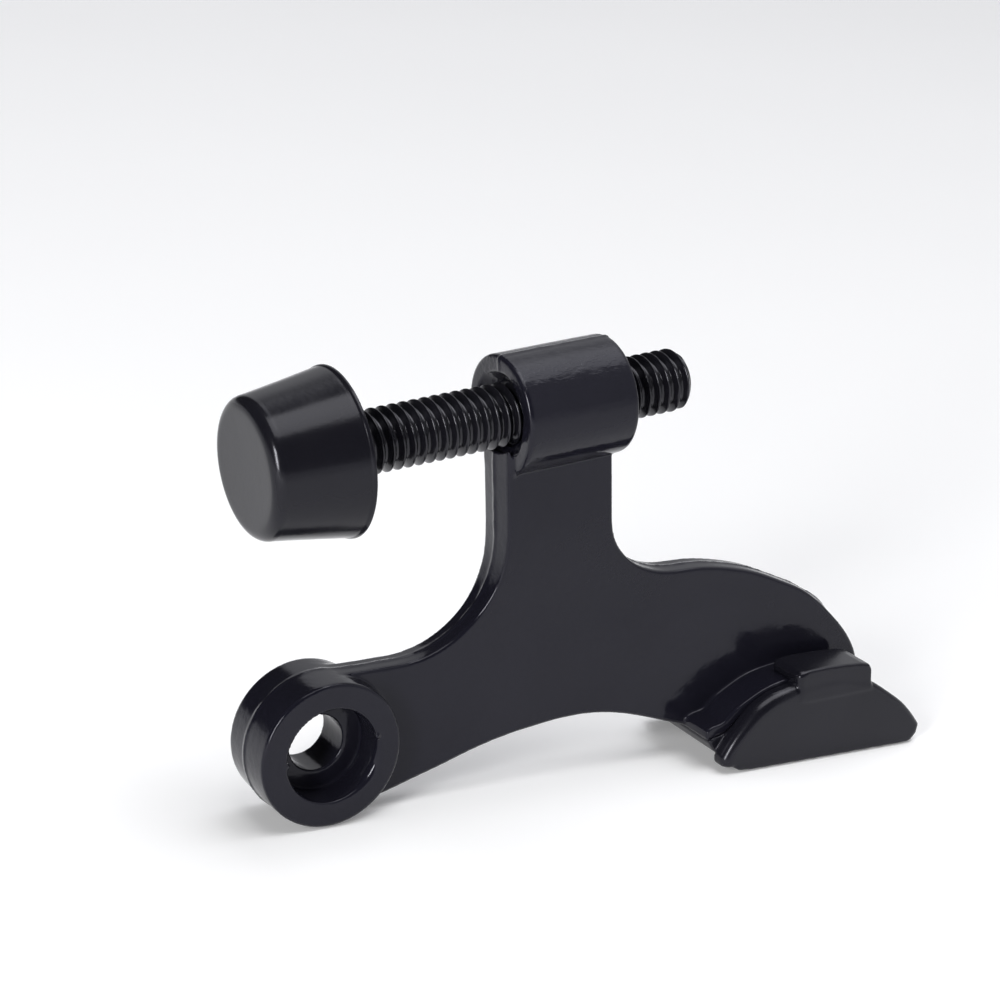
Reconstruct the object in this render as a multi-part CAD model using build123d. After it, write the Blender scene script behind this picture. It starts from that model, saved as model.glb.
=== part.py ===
from build123d import *
import math
import os

os.makedirs("parts", exist_ok=True)

# Hinge-pin door stop.  All lengths in millimetres.
# Row frame: origin on the axis of the hinge-pin bore at the middle plane of
# the casting, +Y along that bore away from its counterbore, +Z up from the
# surface the stop stands on, +X from the eye towards the foot.
# Everything is first laid out in the design frame, whose X axis is parallel
# to the stud, and is then turned about the bore axis by base_tilt, so that
# the eye and the foot pad touch one level plane.

base_tilt = 5.7            # degrees between the stud axis and the standing plane

# eye for the hinge pin
eye_r = 9.2
eye_front = 5.0            # the eye reaches this far towards -Y
eye_back = 4.75            # and this far towards +Y
eye_back_r = 9.0           # drafted radius at the +Y face
pin_bore_r = 3.55          # clears a 1/4 in hinge pin
counterbore_r = 5.95       # seat for the pin's head, open to -Y
counterbore_floor = -0.72  # Y of the shoulder between counterbore and bore
eye_edge = 0.40            # rounding on the eye's front rim
eye_back_edge = 0.70       # rounding on the eye's back rim

# web plate
plate_half = 3.0           # half thickness of the post below the boss
arm_half = 1.95            # half thickness of the two arms
plate_z1 = 22.0            # the plate has its full thickness from this height
plate_z0 = 9.0             # and the arms' thickness below this one

# boss with the threaded bore
stud_z = 36.28             # stud axis above the bore axis, design frame
boss_x0 = 26.3
boss_x1 = 41.6
boss_r = 7.38
boss_edge = 0.6
boss_mouth_r = 4.9         # countersink at both mouths
web_relief_r = 4.6         # the web in front of the left mouth is cleared to this radius

# 5/16-18 UNC thread
pitch = 25.4 / 18
crest_r = 3.90
root_r = 3.12
root_flat = 0.30
thread_clear = 0.13        # clearance of the internal thread, normal to its flanks
minor_r = 3.40             # internal thread's minor radius
crest_x = 11.03            # X of a crest on the line 66.1 degrees from +Y
crest_phase = 66.1

# stud
stud_x1 = 51.65
stud_chamfer = 0.7
thread_x0 = 3.2            # the thread starts here, the shank inside the tip is plain
head_r = 5.6               # hidden head, held in the rubber tip
head_x0 = -2.2
head_x1 = 0.2

# rubber tip
tip_x0 = -7.3
tip_x1 = 4.5
tip_r0 = 8.30
tip_r1 = 10.20
tip_drop = 0.35            # the tip hangs this much off the stud's axis
tip_lip = 0.9              # length of the flared lip at the large end
tip_edge = 1.35
socket_clear = 0.08        # running clearance of the stud and its head in the tip

# foot flange
flange_half = 7.0
flange_t = 1.5
flange_top = [(51.7, -9.75), (52.6, -9.0), (54.4, -8.72), (56.5, -7.4), (58.5, -6.4),
              (60.8, -5.5), (63.2, -5.05), (65.7, -4.9), (68.5, -5.0), (71.5, -5.5),
              (74.5, -6.5), (77.3, -8.2), (79.5, -9.85), (81.3, -11.5)]

# rubber foot pad
pad_half = 9.5
pad_lip_in = 7.08          # inner face of the side lips
lip_round = 1.25           # the side lips stand up beside the flange and are rounded outwards
lug_in = 3.6               # the hooks reach in over the flange to here
lug_x0 = 64.5
lug_x1 = 76.2

pad_arc = [(54.2, -13.0), (55.17, -11.65), (56.23, -10.5), (57.4, -9.5), (58.9, -8.35),
           (60.9, -7.35), (63.0, -6.75), (66.5, -6.35), (70.0, -6.3), (73.5, -6.6),
           (76.3, -7.3), (77.8, -8.3), (79.63, -9.8), (81.5, -11.45), (83.1, -13.3), (84.5, -15.4)]


def to_row(s):
    return Rot(0, -base_tilt, 0) * s


def base_z(x):
    """height of the standing plane in the design frame"""
    t = math.radians(base_tilt)
    return -math.tan(t) * x - eye_r / math.cos(t)


def prism(face, y0, y1):
    """extrude a face drawn in the XZ plane from y0 to y1"""
    return Pos(0, y0, 0) * extrude(face, amount=y1 - y0, dir=(0, 1, 0))


def closed_face(curves):
    """planar face inside a closed chain of curves"""
    return make_face([e for c in curves for e in c.edges()])


def v3(pts, y=0.0):
    return [Vector(x, y, z) for x, z in pts]


def thread_sweep(section, x0, x1, shift=0.0):
    """section, as (radius, axial) points, swept along a right-handed helix
    about the stud axis from x0 to x1 at least"""
    turns = math.ceil((x1 - x0) / pitch) + 2
    k = math.floor((x0 - crest_x) / pitch) - 1
    start = crest_x + (k + shift) * pitch
    helix = Helix(pitch=pitch, height=turns * pitch, radius=section[0][0])
    prof = Plane.XZ * Polygon(*section, align=None)
    s = sweep(prof, path=helix, is_frenet=True)
    # the helix starts on +X; turn it onto the phase line, then lay Z along X
    s = Rot(0, 0, 0) * s
    s = Rot(0, 90, 0) * s                       # Z -> X, X -> -Z
    # start direction is now -Z, which is at 270 degrees from +Y about +X
    s = Rot(crest_phase - 270, 0, 0) * s
    return Pos(start, 0, stud_z) * s


# ---- casting -------------------------------------------------------------
def web_face(off):
    """web plate outline in the design frame; off moves the free edges outwards"""
    left = [(0.9, 9.12), (2.8, 8.78), (5.4, 8.37), (8.59, 8.12), (11.57, 7.92), (14.62, 8.2),
            (17.57, 9.15), (20.18, 10.67), (22.37, 12.67), (24.08, 15.23), (25.13, 18.12), (25.5, 22.03)]
    right = [(40.6, 22.0), (40.74, 19.48), (41.35, 17.46), (42.57, 15.55), (44.1, 14.0), (45.9, 12.87),
             (48.97, 11.75), (53.56, 11.2), (58.15, 10.19), (62.73, 8.55), (67.09, 6.3), (71.07, 3.85),
             (73.79, 1.28), (76.41, -1.71), (78.5, -4.93), (79.3, -7.2), (79.5, -8.8)]
    low = [(52.4, -10.5), (49.81, -9.41), (46.02, -7.73), (42.07, -6.21), (38.09, -5.21), (33.92, -4.8),
           (29.44, -4.85), (25.46, -5.1), (20.49, -5.83), (16.0, -6.80), (12.0, -7.6), (8.0, -8.40), (3.83, -8.95)]

    def shift(pts, side):
        out = []
        for i, (x, z) in enumerate(pts):
            a, b = pts[max(i - 1, 0)], pts[min(i + 1, len(pts) - 1)]
            tx, tz = b[0] - a[0], b[1] - a[1]
            n = math.hypot(tx, tz)
            out.append((x - side * off * tz / n, z + side * off * tx / n))
        return out

    left, right, low = shift(left, 1), shift(right, 1), shift(low, 1)
    left[-1] = (25.5 - off, 22.03)
    right[0] = (40.6 + off, 22.0)
    inner = [right[-1], (74.4, -7.3), (68.5, -5.8), (62.0, -6.0), (56.5, -8.6), low[0]]
    e = [Spline(*v3(left)), Polyline(*v3([left[-1], (left[-1][0], stud_z), (right[0][0], stud_z), right[0]])),
         Spline(*v3(right)), Polyline(*v3(inner)), Spline(*v3(low)),
         Polyline(*v3([low[-1], (0, 0), left[0]]))]
    return closed_face(e)


def flange_face(gap=0.0):
    """section of the curved foot flange, optionally grown by gap all round"""
    top = [(x, z + gap) for x, z in flange_top]
    under = [(x, z - flange_t - gap) for x, z in flange_top]
    top[0] = (top[0][0] - gap, top[0][1])
    under[0] = (under[0][0] - gap + 0.3, under[0][1])
    top[-1] = (top[-1][0] + gap, top[-1][1])
    under[-1] = (under[-1][0] + gap - 0.6, under[-1][1])
    return closed_face([Spline(*v3(top)), Line(*v3([top[-1], under[-1]])), Spline(*v3(under[::-1])),
                        Line(*v3([under[0], top[0]]))])


def cyl_x(r, x0, x1, z=0.0):
    return Pos((x0 + x1) / 2, 0, z) * Rot(0, 90, 0) * Cylinder(r, x1 - x0)


def cyl_y(r, y0, y1):
    return Pos(0, (y0 + y1) / 2, 0) * Rot(-90, 0, 0) * Cylinder(r, y1 - y0)


def make_casting():
    plate = prism(web_face(0.0), -plate_half, plate_half)
    side = [(arm_half, -30.0), (arm_half, plate_z0), (plate_half, plate_z1), (plate_half, 60.0)]
    side = side + [(-y, z) for y, z in side[::-1]]
    slab = make_face(Polyline(*[Vector(-20, y, z) for y, z in side], close=True).edges())
    plate = plate & extrude(slab, amount=120, dir=(1, 0, 0))
    rim = [(0, -eye_front), (eye_r - 0.05, -eye_front), (eye_r, 0), (eye_back_r, eye_back), (0, eye_back)]
    eye = revolve(make_face(Polyline(*[Vector(r, y, 0) for r, y in rim], close=True).edges()), Axis.Y)
    eye = fillet([e for e in eye.edges().filter_by(GeomType.CIRCLE) if e.center().Y < -0.99 * eye_front], eye_edge)
    eye = fillet([e for e in eye.edges().filter_by(GeomType.CIRCLE) if e.center().Y > 0.99 * eye_back], eye_back_edge)
    boss = cyl_x(boss_r, boss_x0, boss_x1, stud_z)
    boss = fillet(boss.edges().filter_by(GeomType.CIRCLE), boss_edge)
    flange = prism(flange_face(), -flange_half, flange_half)
    flange = fillet(flange.edges().filter_by(Axis.Y), 0.35)
    body = plate + eye + boss + flange
    # pin bore and counterbore
    body -= cyl_y(pin_bore_r, -10, 10)
    body -= cyl_y(counterbore_r, -10, counterbore_floor)
    # threaded bore with countersunk mouths
    body -= cyl_x(minor_r, boss_x0 - 1, boss_x1 + 1, stud_z)
    k = boss_mouth_r - minor_r
    for x, s in ((boss_x0, 1), (boss_x1, -1)):
        cone = Cone(boss_mouth_r + 0.5, minor_r - 0.1, (k + 0.6) * 0.75)
        cone = Pos(x + s * ((k + 0.6) * 0.75 / 2 - 0.375), 0, stud_z) * Rot(0, 90 * s, 0) * cone
        body -= cone
    body -= cyl_x(web_relief_r, boss_x0 - 4, boss_x0 - 0.2, stud_z)
    g = thread_clear / math.cos(math.radians(30))
    r0, r1 = root_r + 0.05, crest_r + thread_clear
    w0, w1 = half_root + g - 0.05 * tan30, half_crest + g - thread_clear * tan30
    groove = thread_sweep([(r0, -w0), (r1, -w1), (r1, w1), (r0, w0)], boss_x0 - 2, boss_x1 + 2)
    body -= groove
    return body


# ---- stud ----------------------------------------------------------------
def make_stud():
    sink = 0.06            # the ridge's foot is sunk into the core by this much
    k = (half_root - half_crest) / (crest_r - root_r)
    section = [(root_r - sink, -half_root - sink * k), (crest_r, -half_crest),
               (crest_r, half_crest), (root_r - sink, half_root + sink * k)]
    ridge = thread_sweep(section, thread_x0 - 1.5, stud_x1 + 2)
    room = cyl_x(crest_r + 0.6, thread_x0, stud_x1, stud_z)
    end = [e for e in room.edges().filter_by(GeomType.CIRCLE) if abs(e.center().X - stud_x1) < 0.01]
    ridge = ridge & chamfer(end, stud_chamfer + 0.6)
    core = cyl_x(root_r, head_x0 + 0.5, stud_x1, stud_z)
    head = cyl_x(head_r, head_x0, head_x1, stud_z)
    head = fillet(head.edges().filter_by(GeomType.CIRCLE), 0.5)
    return (core + ridge) + head


# ---- rubber tip ----------------------------------------------------------
def make_tip():
    z = stud_z - tip_drop
    x1a = tip_x1 - tip_lip
    prof = [(tip_x0, 0), (tip_x0, tip_r0), (x1a, tip_r1 - 0.12), (tip_x1 - 0.25, tip_r1 + 0.08), (tip_x1, tip_r1 - 0.1), (tip_x1, 0)]
    f = make_face(Polyline(*[Vector(x, 0, z + r) for x, r in prof], close=True).edges())
    s = revolve(f, Axis((0, 0, z), (1, 0, 0)))
    small = [e for e in s.edges().filter_by(GeomType.CIRCLE) if abs(e.center().X - tip_x0) < 0.01]
    s = fillet(small, tip_edge)
    # socket for the stud and its head
    g = socket_clear
    s -= cyl_x(head_r + g, head_x0 - g, head_x1 + g, stud_z)
    s -= cyl_x(crest_r + g, head_x0, tip_x1 + 1, stud_z)
    return s


# ---- rubber foot pad -----------------------------------------------------
def make_pad():
    bz = base_z
    arc = pad_arc
    bottom = [arc[-1], (84.1, -16.7), (82.6, bz(82.6)), (57.4, bz(57.4)), (55.4, -14.6), (54.25, -13.8), arc[0]]
    face = closed_face([Spline(*v3(arc)), Polyline(*v3(bottom))])
    block = prism(face, -pad_half, pad_half)
    # side lips: a raised band beside the flange, rounded off towards the outside
    high = [(55.6, -11.9), (56.9, -9.55), (58.3, -8.05), (60.2, -6.75), (62.6, -5.75), (66.3, -5.3), (70.0, -5.55),
            (73.5, -6.25), (76.0, -7.2)]
    lip = closed_face([Spline(*v3(high)), Polyline(*v3([high[-1], (76.0, -10.0), (58.0, -13.0), high[0]]))])
    lip = prism(lip, -pad_half, pad_half)
    top = [e for e in lip.edges() if abs(abs(e.center().Y) - pad_half) < 0.01 and e.geom_type == GeomType.BSPLINE]
    block += fillet(top, lip_round)
    wedge = [(52.6, -11.4), (54.4, -12.9), (57.4, bz(57.4)), (60, bz(60)), (60, -8.0), (52.6, -9.5)]
    block += prism(make_face(Polyline(*v3(wedge), close=True).edges()), -pad_lip_in, pad_lip_in)
    lug_top = [(lug_x0, -6.5), (lug_x0, -3.75), (lug_x0 + 0.5, -3.36), (66.5, -3.3), (68.7, -3.42), (71.8, -3.75),
               (74.6, -4.2), (75.8, -4.6), (lug_x1, -5.4), (lug_x1, -7.5), (75.0, -7.8), (66.0, -7.0)]
    lf = make_face(Polyline(*v3(lug_top), close=True).edges())
    lugs = prism(lf, -pad_half, -lug_in) + prism(lf, lug_in, pad_half)
    # room for the flange between the side lips
    room = [(50.0, 0.0)] + [(50.0, flange_top[0][1] - flange_t)]
    clear = flange_face(0.05)
    cut = prism(clear, -pad_lip_in, pad_lip_in)
    above = [(50, 5), (50, -9.8)] + [(x, z - 0.7) for x, z in flange_top] + [(86, -14.0), (86, 5)]
    af = make_face(Polyline(*v3(above), close=True).edges())
    block -= prism(af, -pad_lip_in, pad_lip_in)
    block -= cut
    # under the flange's nose the middle of the pad is cut off at a slant
    nose = [(45, -30), (57.4, -30), (57.4, bz(57.4)), (54.4, -12.9), (52.6, -11.4), (52.6, -10.0), (45, -10.0)]
    block -= prism(make_face(Polyline(*v3(nose), close=True).edges()), -pad_lip_in, pad_lip_in)
    lugs -= cut
    pad = block + lugs
    return pad


tan30 = math.tan(math.radians(30))
half_root = (pitch - root_flat) / 2
half_crest = half_root - (crest_r - root_r) * tan30

nodes = {
    "casting": make_casting(),
    "threaded_stud": make_stud(),
    "rubber_tip": make_tip(),
    "foot_pad": make_pad(),
}

for name, shape in nodes.items():
    shape = to_row(shape)
    parts = shape.solids()
    print(name, len(parts), round(shape.volume, 1), shape.is_valid, shape.bounding_box())
    export_step(shape, f"parts/{name}.step")
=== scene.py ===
import bpy, math
import numpy as np
from mathutils import Matrix, Vector


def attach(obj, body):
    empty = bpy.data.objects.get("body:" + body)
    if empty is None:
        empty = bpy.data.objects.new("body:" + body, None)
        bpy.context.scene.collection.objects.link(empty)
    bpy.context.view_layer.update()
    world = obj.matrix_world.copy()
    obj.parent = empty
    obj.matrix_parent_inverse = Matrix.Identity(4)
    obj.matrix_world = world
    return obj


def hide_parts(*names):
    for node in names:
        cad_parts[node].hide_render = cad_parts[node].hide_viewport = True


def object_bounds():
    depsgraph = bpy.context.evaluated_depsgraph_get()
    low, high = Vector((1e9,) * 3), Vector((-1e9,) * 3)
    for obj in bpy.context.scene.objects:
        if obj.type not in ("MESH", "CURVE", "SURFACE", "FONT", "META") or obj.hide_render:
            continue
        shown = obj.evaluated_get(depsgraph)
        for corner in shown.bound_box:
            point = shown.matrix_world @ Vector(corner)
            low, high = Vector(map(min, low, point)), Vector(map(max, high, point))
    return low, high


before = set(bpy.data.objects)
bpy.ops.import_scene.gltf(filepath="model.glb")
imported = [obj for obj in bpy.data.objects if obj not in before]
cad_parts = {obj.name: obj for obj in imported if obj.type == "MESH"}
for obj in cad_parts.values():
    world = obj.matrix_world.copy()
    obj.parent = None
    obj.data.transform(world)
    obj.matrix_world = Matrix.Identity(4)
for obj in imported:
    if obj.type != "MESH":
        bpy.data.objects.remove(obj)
cad_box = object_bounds()

# The pieces are laid out in millimetres in the design frame, whose X axis is the
# stud's direction, and are turned by the base tilt into the row frame at the end.
TILT = math.radians(5.7)
CT, ST = math.cos(TILT), math.sin(TILT)


def to_row(p):
    p = np.asarray(p, float)
    out = np.empty_like(p)
    out[:, 0] = p[:, 0] * CT - p[:, 2] * ST
    out[:, 1] = p[:, 1]
    out[:, 2] = p[:, 0] * ST + p[:, 2] * CT
    return out


# ---------------------------------------------------------------- mesh tools
def spline(pts, step=0.25):
    """natural cubic spline through the points, sampled about every step mm"""
    P = np.asarray(pts, float)
    n = len(P)
    t = np.r_[0, np.cumsum(np.hypot(*np.diff(P, axis=0).T))]
    h = np.diff(t)
    M = np.zeros((n, n)); R = np.zeros((n, 2))
    M[0, 0] = M[-1, -1] = 1
    for i in range(1, n - 1):
        M[i, i - 1], M[i, i], M[i, i + 1] = h[i - 1], 2 * (h[i - 1] + h[i]), h[i]
        R[i] = 6 * ((P[i + 1] - P[i]) / h[i] - (P[i] - P[i - 1]) / h[i - 1])
    S = np.linalg.solve(M, R)
    out = []
    for i in range(n - 1):
        k = max(2, int(math.ceil(h[i] / step)))
        u = np.linspace(0, h[i], k, endpoint=False)[:, None]
        a, b = S[i], S[i + 1]
        out.append(P[i] + u * ((P[i + 1] - P[i]) / h[i] - h[i] * (2 * a + b) / 6) + u ** 2 * a / 2 + u ** 3 * (b - a) / (6 * h[i]))
    return np.vstack(out + [P[-1:]])


def poly_sd(x, z, poly):
    """signed distance to a closed polygon, negative inside"""
    d2 = np.full(x.shape, 1e9); inside = np.zeros(x.shape, bool)
    q = np.roll(poly, -1, axis=0)
    for (ax, az), (bx, bz) in zip(poly, q):
        ex, ez = bx - ax, bz - az
        L = ex * ex + ez * ez
        if L < 1e-12:
            continue
        wx, wz = x - ax, z - az
        t = np.clip((wx * ex + wz * ez) / L, 0, 1)
        d2 = np.minimum(d2, (wx - t * ex) ** 2 + (wz - t * ez) ** 2)
        if az != bz:
            c = (az > z) != (bz > z)
            inside ^= c & (wx < ex * wz / ez)
    return np.sqrt(d2) * np.where(inside, -1.0, 1.0)


def r_and(a, b, r):
    """intersection whose convex edge is rounded to radius r"""
    u, v = np.maximum(a + r, 0), np.maximum(b + r, 0)
    return np.minimum(np.maximum(a, b), -r) + np.sqrt(u * u + v * v)


def r_or(a, b, r):
    """union whose concave corner is filleted to radius r"""
    return -r_and(-a, -b, r)


def smooth(a, b, x):
    t = np.clip((x - a) / (b - a), 0, 1)
    return t * t * (3 - 2 * t)


def waves(x, y, z, seed, scale):
    """slow surface unevenness in -1..1"""
    rng = np.random.RandomState(seed)
    s = 0
    for _ in range(7):
        k = rng.normal(size=3); k *= rng.uniform(0.6, 1.6) / scale / np.linalg.norm(k)
        s = s + np.sin(k[0] * x + k[1] * y + k[2] * z + rng.uniform(0, 6.28))
    return s / 4.0


def nets(F, o, h):
    """surface nets of a signed distance grid F (negative inside); returns points, quads and normals"""
    s = F < 0
    nx, ny, nz = F.shape
    cells = np.zeros((nx - 1, ny - 1, nz - 1), np.int8)
    for i in (0, 1):
        for j in (0, 1):
            for k in (0, 1):
                cells += s[i:nx - 1 + i, j:ny - 1 + j, k:nz - 1 + k]
    act = (cells > 0) & (cells < 8)
    idx = np.full(act.shape, -1, np.int64)
    ci = np.argwhere(act)
    idx[act] = np.arange(len(ci))
    acc = np.zeros((len(ci), 3)); cnt = np.zeros(len(ci))
    corners = [(i, j, k) for i in (0, 1) for j in (0, 1) for k in (0, 1)]
    for a in corners:
        for ax in range(3):
            if a[ax]:
                continue
            b = list(a); b[ax] = 1
            fa = F[ci[:, 0] + a[0], ci[:, 1] + a[1], ci[:, 2] + a[2]]
            fb = F[ci[:, 0] + b[0], ci[:, 1] + b[1], ci[:, 2] + b[2]]
            m = (fa < 0) != (fb < 0)
            t = np.where(m, fa / np.where(m, fa - fb, 1), 0)
            p = np.array(a, float)[None, :] + t[:, None] * (np.array(b, float) - np.array(a, float))[None, :]
            acc[m] += p[m]; cnt[m] += 1
    V = ci + acc / cnt[:, None]
    quads = []
    for ax in range(3):
        u, v = (ax + 1) % 3, (ax + 2) % 3
        lo = [slice(None)] * 3; hi = [slice(None)] * 3
        lo[ax] = slice(0, -1); hi[ax] = slice(1, None)
        a, b = s[tuple(lo)], s[tuple(hi)]
        e = np.argwhere(a != b)
        e = e[(e[:, u] > 0) & (e[:, v] > 0) & (e[:, u] < F.shape[u] - 1) & (e[:, v] < F.shape[v] - 1)]
        flip = b[e[:, 0], e[:, 1], e[:, 2]]

        def cell(du, dv):
            c = e.copy(); c[:, u] -= du; c[:, v] -= dv
            return idx[c[:, 0], c[:, 1], c[:, 2]]
        q = np.stack([cell(1, 1), cell(0, 1), cell(0, 0), cell(1, 0)], 1)
        q[flip] = q[flip][:, ::-1]
        quads.append(q)
    Q = np.vstack(quads)

    def tri(P):
        g = np.clip(P, 0, np.array(F.shape) - 1.0001)
        i = g.astype(int); f = g - i
        r = 0
        for a in corners:
            w = np.prod([f[:, k] if a[k] else 1 - f[:, k] for k in range(3)], axis=0)
            r = r + w * F[i[:, 0] + a[0], i[:, 1] + a[1], i[:, 2] + a[2]]
        return r

    def grad(P, e):
        g = np.stack([tri(P + e * np.eye(3)[k]) - tri(P - e * np.eye(3)[k]) for k in range(3)], 1) / (2 * e * h)
        return g
    for _ in range(3):
        g = grad(V, 0.5)
        step = (tri(V) / np.maximum((g ** 2).sum(1), 0.3))[:, None] * g / h
        V = V - np.clip(step, -0.5, 0.5) * 0.8
    n = grad(V, 0.6)
    n /= np.linalg.norm(n, axis=1)[:, None]
    return V * h + np.asarray(o)[None, :], Q, n


def add_mesh(name, P, faces, normals, body, nodes, mat):
    me = bpy.data.meshes.new(name)
    P = to_row(P) / 1000.0
    faces = np.asarray(faces)
    me.vertices.add(len(P)); me.vertices.foreach_set("co", P.astype(np.float32).ravel())
    k = faces.shape[1]
    me.loops.add(faces.size); me.loops.foreach_set("vertex_index", faces.ravel().astype(np.int32))
    me.polygons.add(len(faces))
    me.polygons.foreach_set("loop_start", (np.arange(len(faces)) * k).astype(np.int32))
    me.polygons.foreach_set("use_smooth", np.ones(len(faces), bool))
    me.update(calc_edges=True); me.validate()
    if normals is not None:
        me.normals_split_custom_set_from_vertices(to_row(normals).astype(np.float32))
    me.materials.append(mat)
    ob = bpy.data.objects.new(name, me)
    bpy.context.scene.collection.objects.link(ob)
    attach(ob, body)
    if nodes:
        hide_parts(*nodes)
    return ob


def grid(lo, hi, h):
    ax = [np.arange(a, b + h, h) for a, b in zip(lo, hi)]
    return np.meshgrid(*ax, indexing="ij", sparse=True)


# ---------------------------------------------------------------- materials
def new_mat(name):
    m = bpy.data.materials.new(name); m.use_nodes = True
    nt = m.node_tree
    return m, nt, nt.nodes["Principled BSDF"]


def node(nt, kind, **kw):
    n = nt.nodes.new(kind)
    for k, v in kw.items():
        if k in n.inputs.keys() if hasattr(n.inputs, "keys") else False:
            n.inputs[k].default_value = v
        else:
            setattr(n, k, v)
    return n


def noise(nt, coord, scale, detail=3.0, rough=0.5, dist=0.0):
    n = nt.nodes.new("ShaderNodeTexNoise")
    n.inputs["Scale"].default_value = scale
    n.inputs["Detail"].default_value = detail
    n.inputs["Roughness"].default_value = rough
    n.inputs["Distortion"].default_value = dist
    nt.links.new(coord, n.inputs["Vector"])
    return n


def ramp(nt, src, a, b, va, vb):
    r = nt.nodes.new("ShaderNodeMapRange")
    r.inputs["From Min"].default_value = a; r.inputs["From Max"].default_value = b
    r.inputs["To Min"].default_value = va; r.inputs["To Max"].default_value = vb
    nt.links.new(src, r.inputs["Value"])
    return r


def bump(nt, height, strength, dist, prev=None):
    b = nt.nodes.new("ShaderNodeBump")
    b.inputs["Strength"].default_value = strength
    b.inputs["Distance"].default_value = dist
    nt.links.new(height, b.inputs["Height"])
    if prev is not None:
        nt.links.new(prev.outputs["Normal"], b.inputs["Normal"])
    return b


def surface(name, dark, light, rough, peel, grain, coat=0.0, coat_rough=0.08, spec=0.5, mottle=60.0):
    """black finish: colour and roughness vary slowly, and two bumps give its waviness and its grain.
    rough=(low, high), peel=(scale, depth m), grain=(scale, depth m)"""
    m, nt, p = new_mat(name)
    co = nt.nodes.new("ShaderNodeTexCoord").outputs["Object"]
    n1 = noise(nt, co, mottle, 4.0, 0.55, 0.4)
    mix = nt.nodes.new("ShaderNodeMix"); mix.data_type = "RGBA"
    mix.inputs["A"].default_value = (*dark, 1); mix.inputs["B"].default_value = (*light, 1)
    nt.links.new(ramp(nt, n1.outputs["Fac"], 0.3, 0.7, 0, 1).outputs["Result"], mix.inputs["Factor"])
    nt.links.new(mix.outputs["Result"], p.inputs["Base Color"])
    n2 = noise(nt, co, mottle * 3.1, 5.0, 0.6, 0.2)
    nt.links.new(ramp(nt, n2.outputs["Fac"], 0.3, 0.7, rough[0], rough[1]).outputs["Result"], p.inputs["Roughness"])
    n3 = noise(nt, co, peel[0], 2.0, 0.45)
    b = bump(nt, n3.outputs["Fac"], 1.0, peel[1])
    n4 = noise(nt, co, grain[0], 3.0, 0.6)
    b = bump(nt, n4.outputs["Fac"], 1.0, grain[1], b)
    nt.links.new(b.outputs["Normal"], p.inputs["Normal"])
    p.inputs["Specular IOR Level"].default_value = spec
    p.inputs["Specular Tint"].default_value = (0.92, 0.92, 1.0, 1)
    if coat > 0:
        p.inputs["Coat Weight"].default_value = coat
        p.inputs["Coat Roughness"].default_value = coat_rough
        nt.links.new(b.outputs["Normal"], p.inputs["Coat Normal"])
    return m


enamel = surface("black_enamel", (0.0066, 0.0064, 0.0108), (0.0090, 0.0088, 0.0140), (0.09, 0.18),
                 (900.0, 3.2e-5), (2600.0, 4.5e-6), spec=0.26)
stud_mat = surface("black_stud", (0.0036, 0.0035, 0.0052), (0.0066, 0.0064, 0.0088), (0.13, 0.24),
                   (520.0, 2.4e-5), (2600.0, 4e-6), spec=0.42)
tip_mat = surface("tip_rubber", (0.0052, 0.0051, 0.0072), (0.0080, 0.0078, 0.0108), (0.15, 0.22),
                  (300.0, 1.2e-5), (1900.0, 9e-6), spec=0.265)


def add_streaks_and_corner_shade(m):
    """streaky enamel on the boss's top, and painted shade in the counterbore's corner, where the specular tint is
    darkened to dim its highlight
    """
    nt = m.node_tree
    p = nt.nodes["Principled BSDF"]
    co = nt.nodes.new("ShaderNodeTexCoord").outputs["Object"]
    sep = nt.nodes.new("ShaderNodeSeparateXYZ")
    nt.links.new(co, sep.inputs["Vector"])

    def op(kind, a, b):
        n = nt.nodes.new("ShaderNodeMath"); n.operation = kind
        for k, v in enumerate((a, b)):
            if isinstance(v, (int, float)):
                n.inputs[k].default_value = v
            else:
                nt.links.new(v, n.inputs[k])
        return n.outputs["Value"]

    def step(src, a, b, va, vb):
        r = ramp(nt, src, a, b, va, vb); r.interpolation_type = "SMOOTHSTEP"
        return r.outputs["Result"]
    x, y, z = (sep.outputs[k] for k in "XYZ")
    # painted shade: the specular tint goes nearly black round the counterbore's floor corner, dimming the highlight
    # there
    rho = op("SQRT", op("ADD", op("MULTIPLY", x, x), op("MULTIPLY", z, z)), 0.0)
    dr, dy = op("SUBTRACT", rho, 0.00595), op("ADD", y, 0.00072)
    d = op("SQRT", op("ADD", op("MULTIPLY", dr, dr), op("MULTIPLY", dy, dy)), 0.0)
    corner_shade_tint = nt.nodes.new("ShaderNodeMix"); corner_shade_tint.data_type = "RGBA"
    corner_shade_tint.inputs["A"].default_value = (0.10, 0.10, 0.11, 1); corner_shade_tint.inputs["B"].default_value = (0.92, 0.92, 1.0, 1)
    nt.links.new(step(d, 0.00022, 0.00075, 0.0, 1.0), corner_shade_tint.inputs["Factor"])
    nt.links.new(corner_shade_tint.outputs["Result"], p.inputs["Specular Tint"])
    # streaks run along the boss
    comb = nt.nodes.new("ShaderNodeCombineXYZ")
    nt.links.new(op("MULTIPLY", x, 0.30), comb.inputs["X"])
    nt.links.new(y, comb.inputs["Y"]); nt.links.new(z, comb.inputs["Z"])
    n5 = noise(nt, comb.outputs["Vector"], 2300.0, 3.0, 0.6, 0.3)
    top = op("SUBTRACT", z, op("MULTIPLY", x, 0.0998))
    mask = op("MULTIPLY", step(top, 0.0395, 0.0415, 0.0, 1.0), step(n5.outputs["Fac"], 0.46, 0.66, 0.0, 1.0))
    old = p.inputs["Normal"].links[0].from_node
    b = bump(nt, mask, 1.0, 1.1e-5, old)
    nt.links.new(b.outputs["Normal"], p.inputs["Normal"])


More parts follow.
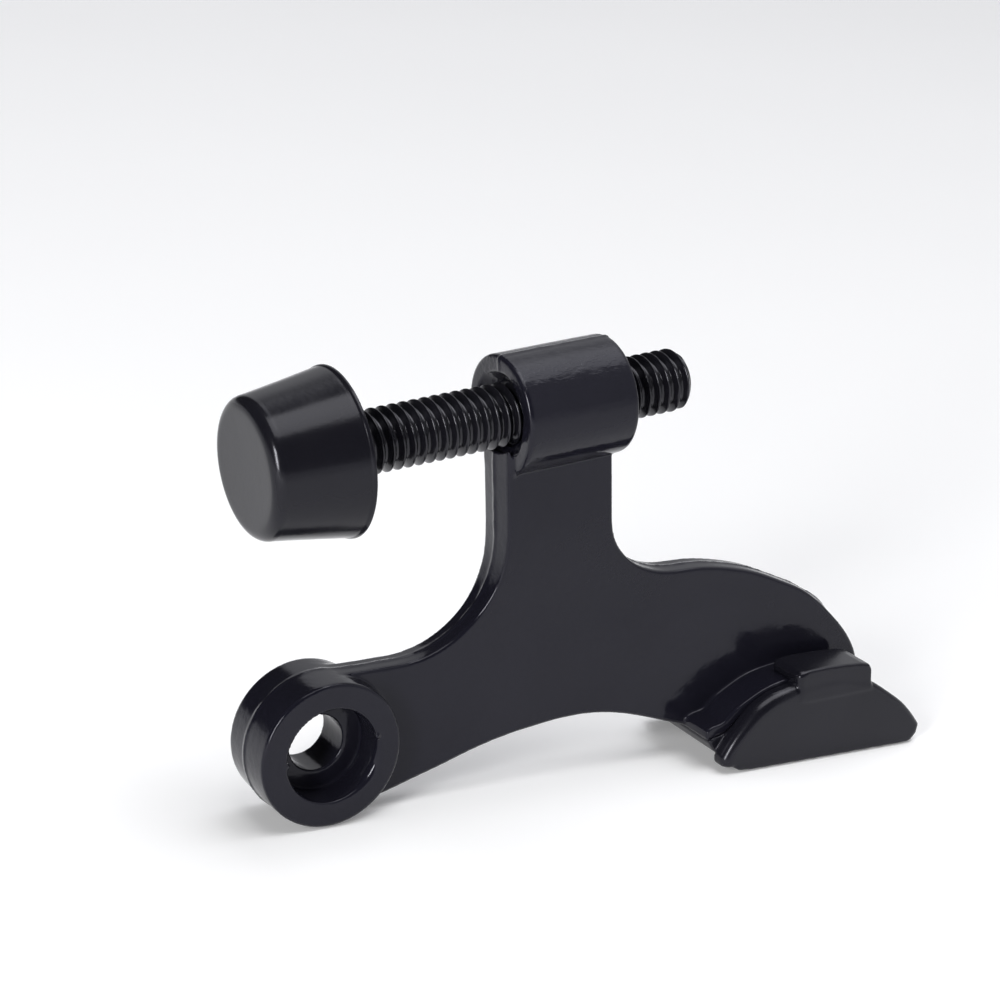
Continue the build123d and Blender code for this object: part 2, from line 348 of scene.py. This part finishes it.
add_streaks_and_corner_shade(enamel)
pad_mat = surface("pad_rubber", (0.0055, 0.0054, 0.0082), (0.0085, 0.0083, 0.0120), (0.18, 0.27),
                  (320.0, 1.8e-5), (2200.0, 6e-6), spec=0.31)

# ---------------------------------------------------------------- casting
STUD_Z = 36.28
PITCH = 25.4 / 18
CREST_X, CREST_PH = 11.03, math.radians(66.1)

left = [(-0.5, 8.55), (1.6, 8.76), (3.2, 8.62), (5.4, 8.37), (8.59, 8.12), (11.57, 7.92), (14.62, 8.2),
        (17.57, 9.15), (20.18, 10.67), (22.37, 12.67), (24.08, 15.23), (25.13, 18.12), (25.5, 22.03)]
right = [(40.6, 22.0), (40.74, 19.48), (41.35, 17.46), (42.57, 15.55), (44.1, 14.0), (45.9, 12.87),
         (48.97, 11.75), (53.56, 11.2), (58.15, 10.19), (62.73, 8.55), (67.09, 6.3), (71.07, 3.85),
         (73.79, 1.28), (76.41, -1.71), (78.5, -4.93), (79.3, -7.2), (79.5, -8.8)]
low = [(52.4, -10.5), (49.81, -9.41), (46.02, -7.73), (42.07, -6.21), (38.09, -5.21), (33.92, -4.8),
       (29.44, -4.85), (25.46, -5.1), (20.49, -5.83), (16.0, -6.80), (12.0, -7.6), (8.0, -8.40), (3.83, -8.95)]
flange_top = [(51.7, -9.75), (52.6, -9.0), (54.4, -8.72), (56.5, -7.4), (58.5, -6.4),
              (60.8, -5.5), (63.2, -5.05), (65.7, -4.9), (68.5, -5.0), (71.5, -5.5),
              (74.5, -6.5), (77.3, -8.2), (79.5, -9.85), (81.3, -11.5)]
ARM_T, POST_T = 1.95, 3.0


def half_t(z):
    return ARM_T + (POST_T - ARM_T) * smooth(7.0, 24.0, z)


L, Rr, Lo = left, right, low
web = np.vstack([spline(L), [(L[-1][0], STUD_Z), (Rr[0][0], STUD_Z)], spline(Rr),
                 [(74.4, -7.3), (68.5, -5.8), (62.0, -6.0), (56.5, -8.6)], spline(Lo), [(0, 0)]])
ft = np.asarray(flange_top)
top_s = spline(ft); bot_s = spline(ft - (0, 1.5))
bot_s[0, 0] += 0.3; bot_s[-1, 0] -= 0.6
flange = np.vstack([top_s, bot_s[::-1]])
# the same section drawn 0.4 mm inside itself, so that its ends can be rounded
core_s = spline(ft - (0, 0.42)); core_b = spline(ft - (0, 1.08))
keep_s = (core_s[:, 0] > ft[0, 0] + 0.65) & (core_s[:, 0] < ft[-1, 0] - 0.7)
flange_core = np.vstack([core_s[keep_s], core_b[keep_s][::-1]])


def casting_field(h):
    lo, hi = (-10.0, -8.0, -14.5), (84.5, 8.0, 44.7)
    X, Y, Z = grid(lo, hi, h)
    x2, z2 = X[:, 0, :] + 0 * Z[:, 0, :], Z[:, 0, :] + 0 * X[:, 0, :]
    ay = np.abs(Y)
    # flash left along the parting line
    ridge = 0.14 * (1 + 0.45 * waves(X, Y, Z, 17, 0.45)) * np.exp(-((Y - 0.05 * waves(X, 0, Z, 19, 1.5)) / 0.25) ** 2)
    # web plate, drafted and rounded, with its slightly sunk faces
    w2 = poly_sd(x2, z2, web)[:, None, :]
    t = half_t(z2)[:, None, :]
    draft = 0.035 + 0.065 * smooth(12.0, 24.0, Z)
    plate = r_and(w2 - 0.10 + draft * ay, ay - t, 0.46 - 0.18 * smooth(10.0, 22.0, Z))
    # eye
    rho = np.sqrt(X ** 2 + Z ** 2)
    R = 9.2 - 0.20 * np.clip(Y / 4.75, 0, 1) + 0.03 * np.clip(Y / 4.75, -1, 0)
    e_r = rho - R
    eye = np.where(Y < 0, r_and(e_r, -Y - 5.0, 0.42), r_and(e_r, Y - 4.75, 0.75))
    # boss
    rb = np.sqrt(Y ** 2 + (Z - STUD_Z) ** 2)
    ends = np.maximum(26.3 - X, X - 41.62)
    boss = r_and(rb - 7.36, ends, 0.55)
    # foot flange
    f2 = poly_sd(x2, z2, flange_core)[:, None, :] - 0.42
    fl = r_and(f2, ay - 7.0, 0.18)
    near = np.minimum((X - 2.5) ** 2 + (Z - 8.8) ** 2, (X - 3.6) ** 2 + (Z + 8.6) ** 2)
    F = r_or(plate, eye, 0.10 + 0.50 * (1 - np.exp(-near / 9.0)))
    F = r_or(F, boss, 0.13 + 0.80 * (1 - smooth(26.0, 27.4, X)))
    F = r_or(F, fl, 0.20)
    F = F - ridge + 0.02 * waves(X, Y, Z, 3, 5.0) + 0.006 * waves(X, Y, Z, 5, 1.3)
    # stub left by the gate on the right arm's edge
    gu = (X - 73.5) * 0.70 - (Z - 1.62) * 0.714
    gv = (X - 73.5) * 0.714 + (Z - 1.62) * 0.70
    gate = np.sqrt((gu / 1.9) ** 2 + (Y / 1.2) ** 2 + (gv / 0.50) ** 2) - 1
    F = r_or(F, gate * 0.50, 0.30)
    # pin bore and counterbore
    cb = r_and(rho - 5.95, Y + 0.72, 0.06)
    az = np.arctan2(Z, X)
    worn = np.exp(-((az + 0.45) / 0.62) ** 2)
    rough_rim = 0.07 * waves(X, Y, Z, 31, 0.8) * np.exp(-((az + 0.05) / 0.35) ** 2)
    F = r_and(F, -cb + rough_rim, 0.13 + 0.92 * worn)
    # small flaws on the rims: two specks of flash and a chip
    F = r_or(F, np.sqrt((X - 6.0) ** 2 + (Y + 4.95) ** 2 + (Z - 1.15) ** 2) - 0.34, 0.12)
    F = r_or(F, np.sqrt((X + 5.85) ** 2 + (Y + 4.55) ** 2 + (Z - 0.05) ** 2) - 0.42, 0.15)
    F = r_and(F, 0.55 - np.sqrt((X + 2.35) ** 2 + (Y + 5.15) ** 2 + (Z - 9.25) ** 2), 0.10)
    F = r_and(F, 3.55 - rho, 0.12)
    # threaded bore
    th = np.arctan2(Z - STUD_Z, Y)
    ph = ((X - CREST_X) / PITCH - (th - CREST_PH) / (2 * math.pi)) % 1.0
    wv = np.abs(ph - 0.5) * 2                     # 1 at a crest of the stud, 0 at its root
    rr = 3.42 + 0.62 * np.clip((wv - 0.18) / 0.66, 0, 1)
    mouth = np.maximum(5.65 - 1.1 * (X - 26.3), 5.1 - 0.9 * (41.62 - X)) + 0.12 * np.sin(3 * th + 1.0) + 0.07 * np.sin(7 * th)
    mouth = mouth + 0.10 * waves(X, Y, Z, 21, 0.7)
    mouth = np.minimum(mouth, 5.9) - 1.15 * np.exp(-((th + math.pi / 2) / 0.62) ** 2)
    # the web stands a little in front of the boss and is only cleared round the stud
    mouth = np.minimum(mouth, 4.5 + 0.10 * np.sin(5 * th) + 1.4 * smooth(25.95, 26.4, X))
    bore = rb - np.maximum(rr, mouth)
    F = r_and(F, -bore, 0.12)
    return F.astype(np.float32), lo


h = 0.285
F, o = casting_field(h)
P, Q, N = nets(F, o, h)
add_mesh("casting_shell", P, Q, N, "body", ["casting"], enamel)
print("casting faces", len(Q))

# ---------------------------------------------------------------- stud
def stud_mesh():
    nth = 72
    x_end, x_thr = 51.65, 3.2
    xs = np.arange(x_thr, x_end - 0.02, PITCH / 20)
    th = np.linspace(0, 2 * math.pi, nth, endpoint=False)

    def radius(x, t):
        ph = ((x - CREST_X) / PITCH - (t - CREST_PH) / (2 * math.pi)) % 1.0
        wv = np.abs(ph - 0.5) * 2
        s = np.clip((wv - 0.20) / 0.72, 0, 1)
        s = s - 0.035 * np.sin(2 * math.pi * s)            # enamel fills the root and rounds the crest
        r = 3.14 + 0.76 * s
        cap = 3.9 - np.clip(x - (x_end - 0.75), 0, None) * 0.93
        fade = 3.12 + np.clip(x - x_thr, 0, None) * 1.2
        return np.minimum(np.minimum(r, cap), fade)
    rings = [(-2.2, 0.02), (-2.2, 5.1), (-2.05, 5.45), (-1.7, 5.6), (-0.3, 5.6), (0.05, 5.45), (0.2, 5.1), (0.2, 3.3), (0.4, 3.12), (3.15, 3.12)]
    rows = [np.full(nth, x) for x, r in rings]; rad = [np.full(nth, r) for x, r in rings]
    for x in xs:
        rows.append(np.full(nth, x)); rad.append(radius(x, th))
    for x, r in ((x_end - 0.02, None), (x_end, 3.1), (x_end + 0.0, 2.2), (x_end - 0.04, 1.1), (x_end - 0.05, 0.02)):
        rows.append(np.full(nth, x)); rad.append(radius(x, th) if r is None else np.minimum(r, radius(x, th)))
    X = np.array(rows); Rr_ = np.array(rad)
    P = np.stack([X, Rr_ * np.cos(th)[None, :], STUD_Z + Rr_ * np.sin(th)[None, :]], -1)
    nr = len(X)
    i = np.arange(nr - 1)[:, None]; j = np.arange(nth)[None, :]
    jn = (j + 1) % nth
    q = np.stack([i * nth + j, i * nth + jn, (i + 1) * nth + jn, (i + 1) * nth + j], -1).reshape(-1, 4)
    return P.reshape(-1, 3), q[:, ::-1]


P, Q = stud_mesh()
stud_o = add_mesh("stud_thread", P, Q, None, "stud", ["threaded_stud"], stud_mat)


# ---------------------------------------------------------------- rubber tip
def lathe(profile, nth, zc, wob=0.0):
    """profile of (x, r) from the axis round to the axis again, about a line parallel to the stud"""
    th = np.linspace(0, 2 * math.pi, nth, endpoint=False)
    pr = np.asarray(profile, float)
    X = np.repeat(pr[:, :1], nth, 1); R = np.repeat(pr[:, 1:], nth, 1)
    R = R * (1 + wob * np.sin(2 * th + 0.7)[None, :] + wob * 0.6 * np.sin(3 * th + 2.0)[None, :])
    P = np.stack([X, R * np.cos(th)[None, :], zc + R * np.sin(th)[None, :]], -1)
    i = np.arange(len(pr) - 1)[:, None]; j = np.arange(nth)[None, :]; jn = (j + 1) % nth
    q = np.stack([i * nth + j, i * nth + jn, (i + 1) * nth + jn, (i + 1) * nth + j], -1).reshape(-1, 4)
    return P.reshape(-1, 3), q[:, ::-1]


def arc(cx, cr, r, a0, a1, n):
    a = np.radians(np.linspace(a0, a1, n))
    return [(cx + r * math.cos(t), cr + r * math.sin(t)) for t in a]


def tip_profile():
    x0, x1, r0, r1, e = -7.3, 4.5, 8.34, 10.22, 1.62
    sl = (r1 - r0) / (x1 - x0)
    p = [(x0 + 0.06, 0.02)] + [(x0 + 0.06 * (1 - (r / 6.6) ** 2), r) for r in np.linspace(0.4, 6.5, 17)]
    p += arc(x0 + e, r0 + sl * e - e / math.cos(math.atan(sl)), e, 180, 90 + math.degrees(math.atan(sl)), 14)
    for x in np.linspace(x0 + e, x1 - 0.85, 38):
        p.append((x, r0 + sl * (x - x0) - 0.05 * math.sin(math.pi * (x - x0) / (x1 - x0))))
    # flared lip
    p += [(x1 - 0.70, r1 - 0.13), (x1 - 0.58, r1 - 0.10), (x1 - 0.48, r1 - 0.03), (x1 - 0.38, r1 + 0.03), (x1 - 0.26, r1 + 0.06)]
    p += arc(x1 - 0.14, r1 - 0.07, 0.14, 90, 0, 7)
    p += [(x1, r) for r in np.linspace(r1 - 0.5, 5.6, 12)]
    p += [(x1 - 0.05, 5.2), (x1 - 0.35, 4.9), (x1 - 0.45, 4.4), (x1 - 0.5, 4.10), (x1 - 0.9, 3.99), (x1 - 3.5, 3.98), (0.3, 3.98), (0.28, 5.68), (-2.28, 5.68), (-2.28, 0.02)]
    return p


P, Q = lathe(tip_profile(), 160, STUD_Z - 0.35, 0.0008)
tip_o = add_mesh("tip_cone", P, Q, None, "tip", ["rubber_tip"], tip_mat)


# ---------------------------------------------------------------- rubber foot pad
def base_z(x):
    return -math.tan(TILT) * x - 9.2 / CT


pad_arc = [(54.2, -13.0), (55.17, -11.65), (56.23, -10.5), (57.4, -9.5), (58.9, -8.35),
           (60.9, -7.35), (63.0, -6.75), (66.5, -6.35), (70.0, -6.3), (73.5, -6.6),
           (76.3, -7.3), (77.8, -8.3), (79.63, -9.8), (81.5, -11.45), (83.1, -13.3), (84.5, -15.4)]


def pad_field(h):
    lo, hi = (51.0, -10.2, -19.0), (86.5, 10.2, -2.0)
    X, Y, Z = grid(lo, hi, h)
    x2, z2 = X[:, 0, :] + 0 * Z[:, 0, :], Z[:, 0, :] + 0 * X[:, 0, :]
    ay = np.abs(Y)
    bz = base_z
    outline = np.vstack([spline(pad_arc), [(84.1, -16.7), (82.6, bz(82.6)), (57.4, bz(57.4)), (55.4, -14.6), (54.25, -13.8)]])
    b2 = poly_sd(x2, z2, outline)[:, None, :]
    low_edge = 0.24 + 0.51 * smooth(0.3, 1.2, X * ST + Z * CT + 9.2)
    block = r_and(b2, ay - 9.5, low_edge)
    # the side lips stand up beside the flange and are rounded off to the outside
    gap = np.interp(x2, ft[:, 0], ft[:, 1]) - np.interp(x2, [q[0] for q in pad_arc], [q[1] for q in pad_arc])
    lift = (np.clip(gap - 0.30, 0.0, 1.55) * (0.78 + 0.22 * smooth(54.6, 58.6, x2)) * (1 - smooth(75.0, 77.0, x2)))[:, None, :]
    lip = r_and(r_and(b2 - lift, ay - 9.5, np.maximum(lift, 0.75)), base_z(X) + 0.7 - Z, 0.5)
    block = np.minimum(block, np.where(lift > 0.02, lip, 9.0))
    wedge = np.array([(52.35, -11.0), (53.2, -12.4), (57.4, bz(57.4)), (62, bz(62)), (62, -8.0), (52.35, -9.5)])
    w2 = poly_sd(x2, z2, wedge)[:, None, :]
    block = np.minimum(block, r_and(w2, ay - 7.06, 0.3))
    # the left end is set back along that slant, except in the near side's lip
    slant = np.maximum((z2 + 12.4 + 0.624 * (x2 - 53.2))[:, None, :] / 1.179, -7.06 - Y)
    block = r_and(block, -slant, 0.15)
    lug = np.array([(64.5, -7.5), (64.5, -3.75), (65.0, -3.36), (66.5, -3.3), (68.7, -3.42), (71.8, -3.75),
                    (74.6, -4.2), (75.8, -4.6), (76.2, -5.4), (76.2, -8.2)])
    l2 = poly_sd(x2, z2, lug)[:, None, :]
    edge = 0.28 + 0.50 * (1 - smooth(64.8, 66.3, X))
    lugs = r_and(r_and(l2, ay - 9.5, edge), 3.6 - ay, 0.25)
    F = r_or(block, lugs, 0.35)
    # seat of the flange
    fl = poly_sd(x2, z2, flange)[:, None, :] - 0.05
    seat = np.maximum(fl, ay - 7.08)
    above = np.vstack([[(50, 5), (50, -9.8)], ft - (0, 0.7), [(86, -14.0), (86, 5)]])
    a2 = poly_sd(x2, z2, above)[:, None, :]
    over = r_and(a2, ay - 7.08, 0.05)
    # the hooks reach in over the flange; elsewhere its top is open
    F_low = r_and(F, -over, 0.2)
    keep = lugs
    F = np.minimum(F_low, keep)
    F = np.maximum(F, -seat)
    F = F + 0.015 * waves(X, Y, Z, 9, 4.0)
    return F.astype(np.float32), lo


h = 0.26
F, o = pad_field(h)
P, Q, N = nets(F, o, h)
add_mesh("pad_moulding", P, Q, N, "body", ["foot_pad"], pad_mat)
print("pad faces", len(Q))

# ---------------------------------------------------------------- camera
cam = bpy.data.cameras.new("cam")
cam.sensor_width = 36.0
cam.lens = 101.37
cam_o = bpy.data.objects.new("cam", cam)
bpy.context.scene.collection.objects.link(cam_o)
R = Matrix(((0.8615540187315225, 0.09886766044123185, -0.497945638123722),
            (-0.5026812380765847, 0.3032529492823647, -0.809536423910215),
            (0.07096651106934354, 0.9477672891962586, 0.3109677151027417)))
cam_o.matrix_world = Matrix.Translation((-0.14560232663436623, -0.27497075201500115, 0.13353175376718157)) @ R.to_4x4()
cam.clip_start = 0.01
bpy.context.scene.camera = cam_o

# ---------------------------------------------------------------- floor and light
fm, nt, p = new_mat("floor_paper")
co = nt.nodes.new("ShaderNodeTexCoord").outputs["Object"]
n1 = noise(nt, co, 9.0, 3.0)
mix = nt.nodes.new("ShaderNodeMix"); mix.data_type = "RGBA"
mix.inputs["A"].default_value = (0.90, 0.90, 0.90, 1); mix.inputs["B"].default_value = (0.93, 0.93, 0.93, 1)
nt.links.new(n1.outputs["Fac"], mix.inputs["Factor"])
nt.links.new(mix.outputs["Result"], p.inputs["Base Color"])
p.inputs["Roughness"].default_value = 0.85
p.inputs["Specular IOR Level"].default_value = 0.1
p.inputs["Emission Color"].default_value = (1.0, 1.0, 1.0, 1)
p.inputs["Emission Strength"].default_value = 0.12
me = bpy.data.meshes.new("floor")
s = 3.0
me.from_pydata([(-s, -s, 0), (s, -s, 0), (s, s, 0), (-s, s, 0)], [], [(0, 1, 2, 3)])
me.materials.append(fm)
floor = bpy.data.objects.new("floor", me)
floor.location = (0, 0, cad_box[0][2] - 0.0002)
bpy.context.scene.collection.objects.link(floor)

w = bpy.data.worlds.new("studio"); bpy.context.scene.world = w; w.use_nodes = True
nt = w.node_tree
bg = nt.nodes["Background"]
sep = nt.nodes.new("ShaderNodeSeparateXYZ")
nt.links.new(nt.nodes.new("ShaderNodeTexCoord").outputs["Generated"], sep.inputs["Vector"])


def wrange(src, a, b, va, vb):
    r = nt.nodes.new("ShaderNodeMapRange"); r.interpolation_type = "SMOOTHSTEP"
    for k, v in (("From Min", a), ("From Max", b), ("To Min", va), ("To Max", vb)):
        r.inputs[k].default_value = v
    nt.links.new(src, r.inputs["Value"])
    return r.outputs["Result"]


def wmath(op, a, b):
    m = nt.nodes.new("ShaderNodeMath"); m.operation = op
    for k, v in enumerate((a, b)):
        if isinstance(v, (int, float)):
            m.inputs[k].default_value = v
        else:
            nt.links.new(v, m.inputs[k])
    return m.outputs["Value"]


# bright on the right and upwards, ending in front; dark on the upper left and in front; pale at the horizon
side = wrange(sep.outputs["X"], 0.09, 0.19, 0.05, 1.0)
rise = wmath("ADD", wrange(sep.outputs["Z"], 0.20, 0.60, 0.55, 0.95), wrange(sep.outputs["Z"], 0.72, 0.92, 0.0, 1.9))
front = wrange(sep.outputs["Y"], -0.34, -0.24, 0.10, 1.0)
wall = wmath("MULTIPLY", wmath("MULTIPLY", side, rise), front)
wall = wmath("MAXIMUM", wall, wrange(sep.outputs["X"], 0.26, 0.40, 0.0, 0.60))
horizon = wrange(sep.outputs["Z"], 0.02, 0.13, 0.90, 0.0)
nt.links.new(wmath("MAXIMUM", wall, horizon), bg.inputs["Strength"])
bg.inputs["Color"].default_value = (0.955, 0.96, 1.0, 1)


def softbox(name, loc, target, sx, sy, radiance):
    """rectangular soft light; radiance is what it shows in a mirror"""
    la = bpy.data.lights.new(name, "AREA")
    la.shape = "RECTANGLE"; la.size = sx; la.size_y = sy
    la.energy = radiance * sx * sy * math.pi
    ob = bpy.data.objects.new(name, la)
    d = Vector(target) - Vector(loc)
    ob.rotation_euler = d.to_track_quat("-Z", "Y").to_euler()
    ob.location = loc
    bpy.context.scene.collection.objects.link(ob)
    return ob


C = (0.037, 0.0, 0.018)
softbox("overhead", (-0.03 + C[0], -0.20 * 1.5, 1.46), C, 0.96, 0.90, 3.3)
softbox("key", (C[0] - 0.80 * 0.6, -0.52 * 0.6, C[2] + 0.30 * 0.6), C, 0.11, 0.27, 28.0)
bpy.context.scene.view_settings.view_transform = "Standard"
